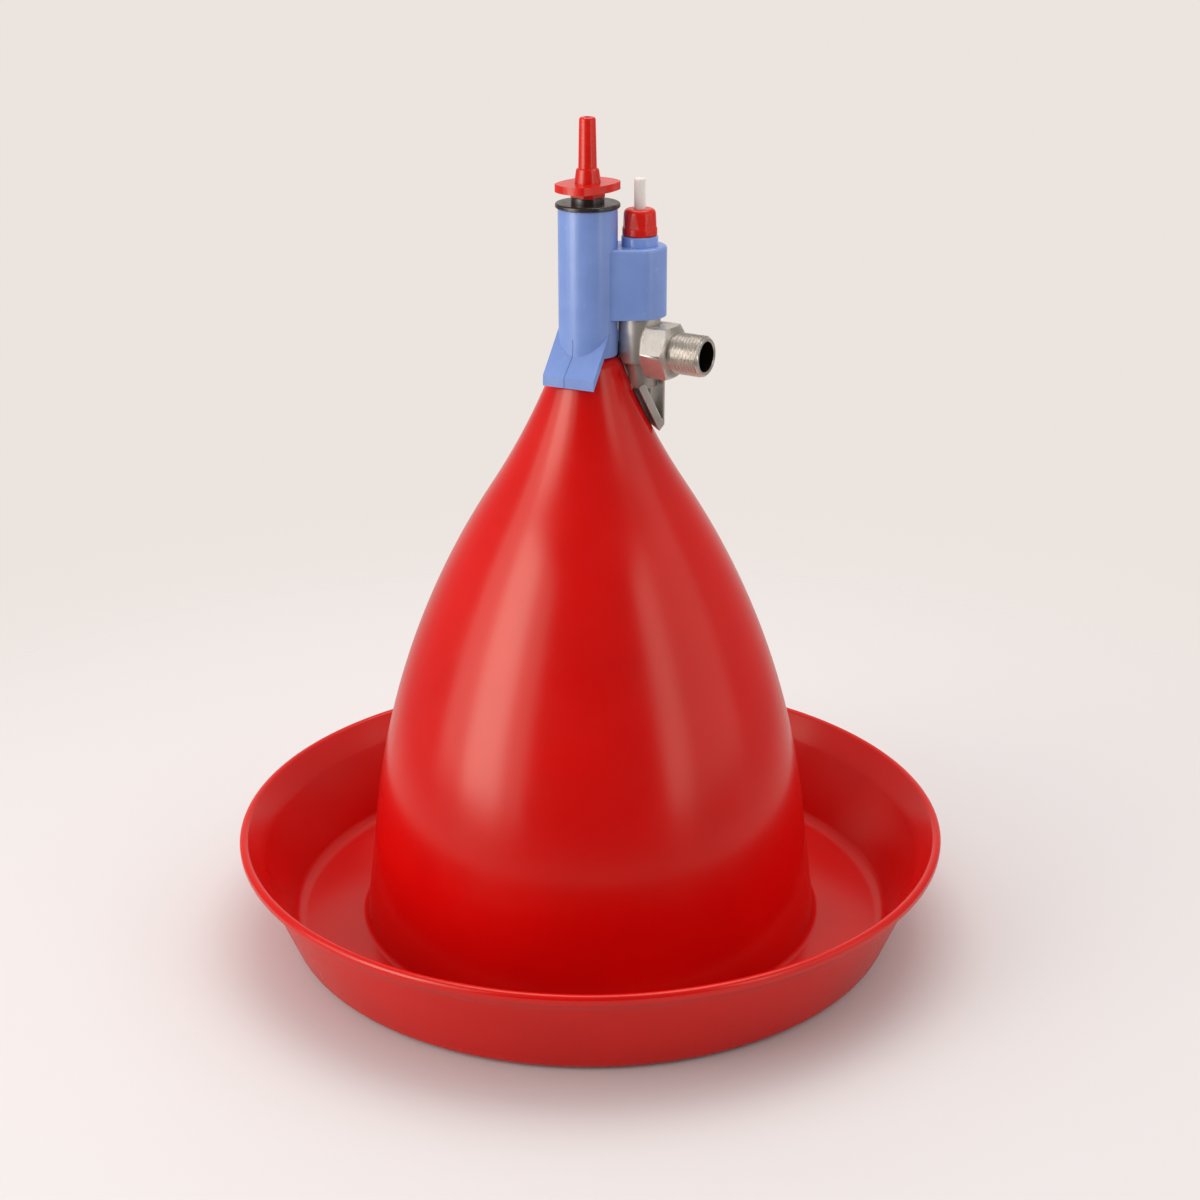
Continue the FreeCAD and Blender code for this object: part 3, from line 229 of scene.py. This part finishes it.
# Nickel plate over machined brass: warm grey, satin, with fine turning marks
nickelPlate = workedMetal("nickelPlatedBrassMachined", {
    "deep": "#D8D1C8", "light": "#E6E1D9", "cloudMm": 5, "metallic": 0.75, "roughness": 0.35, "spread": 0.05,
    "streakMm": (6, 6, 0.35), "turn": (0, 0, 0), "depthMm": 0.004})
# The same plate over the cut thread: a little brighter and smoother
nickelThread = workedMetal("nickelPlatedBrassThreaded", {
    "deep": "#D8D1C8", "light": "#E6E1D9", "cloudMm": 5, "metallic": 0.8, "roughness": 0.3, "spread": 0.04,
    "streakMm": (0.35, 6, 6), "turn": (0, 0, math.radians(40)), "depthMm": 0.001})
# Stainless strip and wire, cold worked: pale warm grey with long fine lines
rolledSteel = workedMetal("stainlessStripRolled", {
    "deep": "#D2CEC7", "light": "#E0DCD5", "cloudMm": 7, "metallic": 0.6, "roughness": 0.34, "spread": 0.06,
    "streakMm": (0.3, 0.3, 9), "turn": (0, 0, 0), "depthMm": 0.004})
# Zinc-plated fasteners: bluish grey, cloudy
zincSteel = workedMetal("zincPlatedSteel", {
    "deep": "#9FA3A6", "light": "#BDC0C2", "cloudMm": 4, "metallic": 0.85, "roughness": 0.38, "spread": 0.1,
    "streakMm": (3, 3, 0.5), "turn": (0, 0, 0), "depthMm": 0.01})
# Brass left bare inside the bore, coloured a near-black olive brown: painted shade for the inside of the bore
boreBrassPaintedShade = workedMetal("brassPaintedBoreShade", {
    "deep": "#15130E", "light": "#25211A", "cloudMm": 3, "metallic": 0.5, "roughness": 0.5, "spread": 0.08,
    "streakMm": (3, 3, 3), "turn": (0, 0, 0), "depthMm": 0.01})


def dress(material, names):
    for name in names:
        piece = nodes[name]
        piece.data.materials.clear()
        piece.data.materials.append(material)


dress(redAcetal, ["hanger_spindle", "gland_nut"])
dress(blueAbs, ["valve_housing"])
dress(blueAcetal, ["valve_bush"])
dress(blackNylon, ["top_cap", "valve_plug", "filler_cap"])
dress(nickelPlate, ["valve_body"])
dress(rolledSteel, ["stirrup", "valve_stem", "valve_spring", "main_spring"])
# the strainer deep in the bore takes the near-black brass: painted shade
dress(boreBrassPaintedShade, ["inlet_strainer"])
dress(zincSteel, ["spindle_clip", "lead_screw", "centre_rod", "bell_nut", "ballast_nut", "wing_nut", "clamp_washer"])
dress(milkyPolyethylene, ["blanking_pin", "spring_carrier", "spring_anchor", "thrust_washer", "valve_seat"])
dress(blackRubber, ["stem_seal", "gland_ring", "bell_gasket"])
dress(waxyPolyethylene, ["ballast_tank"])
print("materials and CAD nodes dressed")


# ---- mesh helpers
def addPiece(name, mesh, body, materials):
    piece = bpy.data.objects.new(name, mesh)
    bpy.context.scene.collection.objects.link(piece)
    for material in materials:
        mesh.materials.append(material)
    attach(piece, body)
    return piece


def tracePath(start, steps):
    # A path in millimetres. A step is (x, y), a straight run, or (x, y, "smooth"), an arc that leaves
    # along the last heading.
    points = [Vector(start)]
    heading = None
    for step in steps:
        here, there = points[-1], Vector(step[:2])
        chord = there - here
        along = chord.normalized()
        if len(step) == 2:
            points.append(there)
            heading = along
            continue
        side = 1 if heading.x * along.y - heading.y * along.x > 0 else -1
        bend = math.acos(max(-1, min(1, heading.dot(along))))
        radius = chord.length / 2 / math.sin(bend)
        centre = (here + there) / 2 + Vector((-along.y, along.x)) * side * radius * math.cos(bend)
        count = max(4, int(math.degrees(bend * 2) / 4), int(chord.length / 7))
        arm = here - centre
        for i in range(1, count + 1):
            angle = side * 2 * bend * i / count
            turned = Vector((arm.x * math.cos(angle) - arm.y * math.sin(angle),
                             arm.x * math.sin(angle) + arm.y * math.cos(angle)))
            points.append(centre + turned)
        heading = Vector((along.x * math.cos(side * bend) - along.y * math.sin(side * bend),
                          along.x * math.sin(side * bend) + along.y * math.cos(side * bend)))
    return points


def lathe(name, points, segments, sharp=30):
    # Turns a closed (radius, height) outline about +Z, smooth apart from its sharp corners.
    work = bmesh.new()
    rings = []
    for point in points:
        rings.append([work.verts.new((point.x * mm * math.cos(2 * math.pi * i / segments),
                                      point.x * mm * math.sin(2 * math.pi * i / segments), point.y * mm))
                      for i in range(segments)])
    for lower, upper in zip(rings, rings[1:] + rings[:1]):
        for i in range(segments):
            j = (i + 1) % segments
            work.faces.new((lower[i], lower[j], upper[j], upper[i]))
    bmesh.ops.recalc_face_normals(work, faces=work.faces)
    mesh = bpy.data.meshes.new(name)
    work.to_mesh(mesh)
    work.free()
    mesh.shade_smooth()
    mesh.set_sharp_from_angle(angle=math.radians(sharp))
    return mesh


# ---- bell and tray
bellTray = {
    "wall": 3.0, "rimRadius": 190.0, "rimHeight": 57.5, "lipWidth": 2.5, "lipDepth": 5.2, "flash": 1.2,
    "baseRadius": 162.6, "shoulderRadius": 180.7, "shoulderHeight": 44.0, "cornerRound": 8.0,
    "floor": 5.0, "underside": 2.0, "footRing": 148.0,
    "foot": (123.2, 5.0), "waist": (115.4, 68.8), "bend": (51.0, 246.1), "neck": (17.3, 311.8), "top": (10.04, 316.8),
    "footRound": 3.0, "rodHole": 4.3, "segments": 320,
}


def bellTrayOutline(b):
    lean = math.atan((b["shoulderRadius"] - b["baseRadius"]) / b["shoulderHeight"])
    skin = b["wall"] / math.cos(lean)
    run = b["cornerRound"] * math.tan((math.pi / 2 - lean) / 2)
    innerBase = b["baseRadius"] + b["floor"] * math.tan(lean) - skin
    bellLean = math.atan((b["foot"][0] - b["waist"][0]) / (b["waist"][1] - b["foot"][1]))
    footRun = b["footRound"] * math.tan((math.pi / 2 - bellLean) / 2)
    bendLean = 2 * math.atan((b["waist"][0] - b["bend"][0]) / (b["bend"][1] - b["waist"][1])) - bellLean
    neckLean = 2 * math.atan((b["bend"][0] - b["neck"][0]) / (b["neck"][1] - b["bend"][1])) - bendLean
    wall = b["wall"]
    lip = b["rimHeight"] - b["lipDepth"]
    return tracePath((b["footRing"], 0), [
        (b["baseRadius"] - run, 0),
        (b["baseRadius"] + run * math.sin(lean), run * math.cos(lean), "smooth"),
        (b["shoulderRadius"] - 0.6, b["shoulderHeight"] - 1.5),
        (b["shoulderRadius"] + 1.4, b["shoulderHeight"] + 2.2, "smooth"),
        (b["rimRadius"] - b["lipWidth"] - 0.5, lip - 0.4),
        (b["rimRadius"] - b["lipWidth"] + 0.1, lip, "smooth"),
        (b["rimRadius"] - b["flash"], lip + 0.05),
        (b["rimRadius"] - 0.5, lip + 0.35),
        (b["rimRadius"] - 0.25, lip + 0.9),
        (b["rimRadius"] - 0.05, b["rimHeight"] - 2.6),
        (b["rimRadius"] - b["lipWidth"] + 0.2, b["rimHeight"], "smooth"),
        (b["rimRadius"] - b["lipWidth"] * 2 + 0.4, b["rimHeight"] - 1.1, "smooth"),
        (b["shoulderRadius"] - skin + 2.0, b["shoulderHeight"] + wall / 2 + 2.4),
        (b["shoulderRadius"] - skin - 0.7, b["shoulderHeight"] + wall / 2 - 2.0, "smooth"),
        (innerBase + run * math.sin(lean), b["floor"] + run * math.cos(lean)),
        (innerBase - run, b["floor"], "smooth"),
        (b["foot"][0] + footRun, b["floor"]),
        (b["foot"][0] - footRun * math.sin(bellLean), b["floor"] + footRun * math.cos(bellLean), "smooth"),
        b["waist"],
        (*b["bend"], "smooth"),
        (*b["neck"], "smooth"),
        (*b["top"], "smooth"),
        (b["rodHole"], b["top"][1]),
        (b["rodHole"], b["top"][1] - wall),
        (b["top"][0], b["top"][1] - wall),
        (b["neck"][0] - wall * math.cos(neckLean), b["neck"][1] - wall * math.sin(neckLean), "smooth"),
        (b["bend"][0] - wall * math.cos(bendLean), b["bend"][1] - wall * math.sin(bendLean), "smooth"),
        (b["waist"][0] - wall * math.cos(bellLean), b["waist"][1] - wall * math.sin(bellLean), "smooth"),
        (b["foot"][0] - wall, b["underside"] + 0.8),
        (b["foot"][0] - wall + 0.8, b["underside"]),
        (b["footRing"] - 2.0, b["underside"]),
    ])


bellMesh = lathe("bellAndTray", bellTrayOutline(bellTray), bellTray["segments"])
bellPiece = addPiece("bellAndTray", bellMesh, "bell", [redPolypropylene])
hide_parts("bell_tray")
print("bell and tray", len(bellMesh.polygons), "faces")


# ---- inlet: hexagon and real thread
inlet = {
    "origin": (26.1, 0, 318.9), "turn": -40.0, "bore": 7.75, "crest": 10.4775, "pitch": 1.814, "depth": 1.162,
    "hexEnd": 21.0, "threadFoot": 23.0, "threadEnd": 38.9, "chamfer": 1.3, "relief": 9.2, "segments": 112, "perPitch": 14,
    "mouthChamfer": 0.4, "lap": 0.3, "startOverlap": 0.2, "boreSkin": 0.1,
}


def inletMatrix(t):
    return Matrix.Translation(Vector(t["origin"]) * mm) @ Matrix.Rotation(math.radians(t["turn"]), 4, "Z") \
        @ Matrix.Rotation(math.radians(90), 4, "Y")


def threadRadius(t, along, angle):
    phase = ((along - t["pitch"] * angle / (2 * math.pi)) / t["pitch"]) % 1
    tooth = min(1, max(0, 1.28 * abs(2 * phase - 1) - 0.14))  # flat crest and flat root
    tooth = tooth * tooth * (3 - 2 * tooth) * 0.5 + tooth * 0.5  # slightly rounded, as it is cut
    fade = min(1, max(0, (along - t["threadFoot"] + 0.6) / 1.2))
    radius = t["relief"] + (t["crest"] - t["depth"] + t["depth"] * tooth - t["relief"]) * fade
    taper = t["crest"] - max(0, along - (t["threadEnd"] - t["chamfer"]))
    return min(radius, taper)


def threadMesh(t):
    work = bmesh.new()
    step = t["pitch"] / t["perPitch"]
    rows = int((t["threadEnd"] - t["hexEnd"]) / step)
    first = t["startOverlap"]
    stations = [t["hexEnd"] - first + (t["threadEnd"] - t["hexEnd"] + first) * i / rows for i in range(rows + 1)]
    rings = []
    for along in stations:
        rings.append([(threadRadius(t, along, 2 * math.pi * i / t["segments"]), along) for i in range(t["segments"])])
    rim = t["threadEnd"]
    inner = t["bore"]
    rings.append([(inner + t["mouthChamfer"], rim)] * t["segments"])
    rings.append([(inner, rim - t["mouthChamfer"])] * t["segments"])
    rings.append([(inner, t["hexEnd"] + t["lap"])] * t["segments"])
    grid = []
    for ring in rings:
        grid.append([work.verts.new((r * mm * math.cos(2 * math.pi * i / t["segments"]),
                                     r * mm * math.sin(2 * math.pi * i / t["segments"]), z * mm))
                     for i, (r, z) in enumerate(ring)])
    for lower, upper in zip(grid, grid[1:]):
        for i in range(t["segments"]):
            j = (i + 1) % t["segments"]
            work.faces.new((lower[i], lower[j], upper[j], upper[i]))
    bmesh.ops.transform(work, matrix=inletMatrix(t), verts=work.verts)
    # the hexagon comes from the CAD node, cut where the thread begins
    work.from_mesh(hexagonFrom(nodes["inlet_nipple"], t))
    bmesh.ops.recalc_face_normals(work, faces=work.faces)
    home = inletMatrix(t).inverted()
    for face in work.faces:  # the bore gets the near-black brass: painted shade
        middle = home @ face.calc_center_median()
        if math.hypot(middle.x, middle.y) < (inner + t["boreSkin"]) * mm:
            face.material_index = 1
    mesh = bpy.data.meshes.new("inletNipple")
    work.to_mesh(mesh)
    work.free()
    mesh.shade_smooth()
    mesh.set_sharp_from_angle(angle=math.radians(28))
    return mesh


def hexagonFrom(node, t):
    work = bmesh.new()
    work.from_mesh(node.data)
    bmesh.ops.remove_doubles(work, verts=work.verts, dist=1e-6)
    frameOf = inletMatrix(t)
    point = frameOf @ Vector((0, 0, (t["hexEnd"] + t["lap"]) * mm))
    normal = frameOf.to_3x3() @ Vector((0, 0, 1))
    bmesh.ops.bisect_plane(work, geom=work.verts[:] + work.edges[:] + work.faces[:],
                           plane_co=point, plane_no=normal, clear_outer=True)
    mesh = bpy.data.meshes.new("inletHexagon")
    work.to_mesh(mesh)
    work.free()
    return mesh


nippleMesh = threadMesh(inlet)
nipplePiece = addPiece("inletNipple", nippleMesh, "head", [nickelThread, boreBrassPaintedShade])
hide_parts("inlet_nipple")
print("inlet nipple", len(nippleMesh.polygons), "faces")


# ---- edges of the CAD nodes softened as their making leaves them
edges = {"flatDegrees": 0.5, "sharpDegrees": 34, "segments": 3, "smoothing": 0.5}
# widths in mm
softEdges = {"valve_housing": 0.55, "top_cap": 0.35, "valve_bush": 0.3, "valve_body": 0.3, "hanger_spindle": 0.25}
for name, width in softEdges.items():
    plain = nodes[name].modifiers.new("plainFaces", "DECIMATE")  # joins the triangles of each flat face
    plain.decimate_type = "DISSOLVE"
    plain.angle_limit = math.radians(edges["flatDegrees"])
    bevel = nodes[name].modifiers.new("softEdges", "BEVEL")
    bevel.width = width * mm
    bevel.segments = edges["segments"]
    bevel.limit_method = "ANGLE"
    bevel.angle_limit = math.radians(edges["sharpDegrees"])
    bevel.harden_normals = True

# the red nut that hands turn has rounded edges, and the strip was tumbled after it was bent
handled = {"gland_nut": (0.22, 20), "stirrup": (0.22, 5)}  # mesh size in mm, rounds of smoothing
for name, (size, rounds) in handled.items():
    remesh = nodes[name].modifiers.new("evenMesh", "REMESH")
    remesh.mode = "VOXEL"
    remesh.voxel_size = size * mm
    remesh.use_smooth_shade = True
    smooth = nodes[name].modifiers.new("roundedEdges", "SMOOTH")
    smooth.factor = edges["smoothing"]
    smooth.iterations = rounds


# ---- studio
# A pale sweep behind the object, a dim room in front of it and a wide softbox on each side, the left one stronger.
studio = {
    "sweep": "#ECE4DF", "paper": "#D2CFD0", "paperShadedInReflections": "#B4ACA8", "room": "#F6F3F0",
    "cameraDistance": 1073.4, "cameraHeight": 593.6, "azimuth": 8.5, "pitch": 0.365, "roll": -0.004,
    "lens": 65.42, "shiftX": 0.00892, "sensorWidth": 36,
    # metres: the paper is whole up to fadeFrom and gone at fadeTo
    "floorRadius": 0.76, "fadeFrom": 0.26, "fadeTo": 0.75, "floorDrop": 0.0002,
    "lampColour": "#FFFAF5", "lampTarget": (0, 0, 0.2),
    # level by direction, from straight towards the camera (0) to straight away from it (1)
    "seenLevels": [(0.0, 0.01), (0.15, 0.03), (0.5, 0.22), (0.75, 0.22), (0.86, 0.3), (0.93, 0.5), (1.0, 0.85)],
    "roomLevels": [(0.0, 0.38), (0.2, 0.56), (0.5, 1.3), (1.0, 1.1)],
}
turn = math.radians(studio["azimuth"])
towardsCamera = Vector((-math.sin(turn), -math.cos(turn), 0))
world = bpy.data.worlds.new("paleRoom")
bpy.context.scene.world = world
world.use_nodes = True
tree = world.node_tree
tree.nodes.clear()
rays = addNode(tree, "ShaderNodeLightPath")
place = addNode(tree, "ShaderNodeTexCoord")
facing = addNode(tree, "ShaderNodeVectorMath", {"operation": "DOT_PRODUCT"}, {1: towardsCamera},
                 {0: place.outputs["Generated"]})
away = addNode(tree, "ShaderNodeMapRange", values={"From Min": 1, "From Max": -1}, links={"Value": facing.outputs["Value"]})
levels = {}
for name in ("seenLevels", "roomLevels"):
    levels[name] = addNode(tree, "ShaderNodeValToRGB", links={"Fac": away.outputs["Result"]})
    setRamp(levels[name], [(position, [level, level, level, 1]) for position, level in studio[name]])
seenLevel = addNode(tree, "ShaderNodeMath", {"operation": "MAXIMUM"},
                    links={0: levels["seenLevels"].outputs["Color"], 1: rays.outputs["Is Camera Ray"]})
seen = addNode(tree, "ShaderNodeBackground", values={"Color": hexColour(studio["sweep"])},
               links={"Strength": seenLevel.outputs[0]})
room = addNode(tree, "ShaderNodeBackground", values={"Color": hexColour(studio["room"])},
               links={"Strength": levels["roomLevels"].outputs["Color"]})
seenOrGlossy = addNode(tree, "ShaderNodeMath", {"operation": "MAXIMUM"},
                       links={0: rays.outputs["Is Camera Ray"], 1: rays.outputs["Is Glossy Ray"]})
direct = addNode(tree, "ShaderNodeMath", {"operation": "MAXIMUM"},
                 links={0: seenOrGlossy.outputs[0], 1: rays.outputs["Is Transmission Ray"]})
mixed = addNode(tree, "ShaderNodeMixShader", links={0: direct.outputs[0], 1: room.outputs[0], 2: seen.outputs[0]})
addNode(tree, "ShaderNodeOutputWorld", links={"Surface": mixed.outputs[0]})

# matt paper, which takes a soft shadow and fades into the sweep; reflections see it darker, as painted shade
floorMaterial, tree = newMaterial("paperSweep")
place = addNode(tree, "ShaderNodeTexCoord")
reach = addNode(tree, "ShaderNodeVectorMath", {"operation": "LENGTH"}, links={0: place.outputs["Object"]})
fade = addNode(tree, "ShaderNodeMapRange", {"interpolation_type": "SMOOTHSTEP"},
               {"From Min": studio["fadeFrom"], "From Max": studio["fadeTo"]}, {"Value": reach.outputs["Value"]})
rays = addNode(tree, "ShaderNodeLightPath")
# painted shade: glossy rays see the darker paper colour
tone = addNode(tree, "ShaderNodeMix", {"data_type": "RGBA"},
               {"A": hexColour(studio["paper"]), "B": hexColour(studio["paperShadedInReflections"])},
               {"Factor": rays.outputs["Is Glossy Ray"]})
paper = addNode(tree, "ShaderNodeBsdfDiffuse", links={"Color": tone.outputs["Result"]})
clear = addNode(tree, "ShaderNodeBsdfTransparent")
faded = addNode(tree, "ShaderNodeMixShader", links={0: fade.outputs["Result"], 1: paper.outputs[0], 2: clear.outputs[0]})
finishMaterial(tree, faded)
floorMesh = bpy.data.meshes.new("floor")
work = bmesh.new()
bmesh.ops.create_circle(work, cap_ends=True, segments=96, radius=studio["floorRadius"])
work.to_mesh(floorMesh)
work.free()
floorMesh.materials.append(floorMaterial)
floor = bpy.data.objects.new("floor", floorMesh)
bpy.context.scene.collection.objects.link(floor)
floor.location.z = cadLow.z - studio["floorDrop"]

lamps = {  # azimuth from the camera's side, height, distance, width, tall, watts
    "leftSoftbox": (-63, 0.62, 1.5, 1.7, 1.35, 9.0),
    "leftCore": (-60, 0.58, 1.48, 0.65, 1.2, 6.4),
    "rightSoftbox": (68, 0.62, 1.6, 1.6, 1.3, 2.9),
    "rightCore": (48, 0.60, 1.58, 0.45, 1.2, 1.6),
    "topPanel": (170, 1.9, 0.5, 1.4, 1.4, 13),
}


def aimAt(position, target):
    return (Vector(target) - Vector(position)).to_track_quat("-Z", "Y").to_euler()


for name, (azimuth, height, distance, width, tall, watts) in lamps.items():
    lamp = bpy.data.lights.new(name, "AREA")
    lamp.shape = "RECTANGLE"
    lamp.size, lamp.size_y, lamp.energy = width, tall, watts
    lamp.color = hexColour(studio["lampColour"])[:3]
    angle = math.radians(-90 - studio["azimuth"] + azimuth)
    position = (distance * math.cos(angle), distance * math.sin(angle), height)
    holder = bpy.data.objects.new(name, lamp)
    bpy.context.scene.collection.objects.link(holder)
    holder.location = position
    holder.rotation_euler = aimAt(position, studio["lampTarget"])

view = bpy.context.scene.view_settings
view.view_transform = "Standard"
cameraData = bpy.data.cameras.new("camera")
cameraData.sensor_width = studio["sensorWidth"]
cameraData.lens = studio["lens"]
cameraData.shift_x = studio["shiftX"]
camera = bpy.data.objects.new("camera", cameraData)
bpy.context.scene.collection.objects.link(camera)
camera.location = towardsCamera * studio["cameraDistance"] * mm + Vector((0, 0, studio["cameraHeight"] * mm))
camera.rotation_euler = (Matrix.Rotation(-turn, 4, "Z") @ Matrix.Rotation(math.pi / 2 - studio["pitch"], 4, "X")
                         @ Matrix.Rotation(studio["roll"], 4, "Z")).to_euler()
bpy.context.scene.camera = camera
print("studio set")
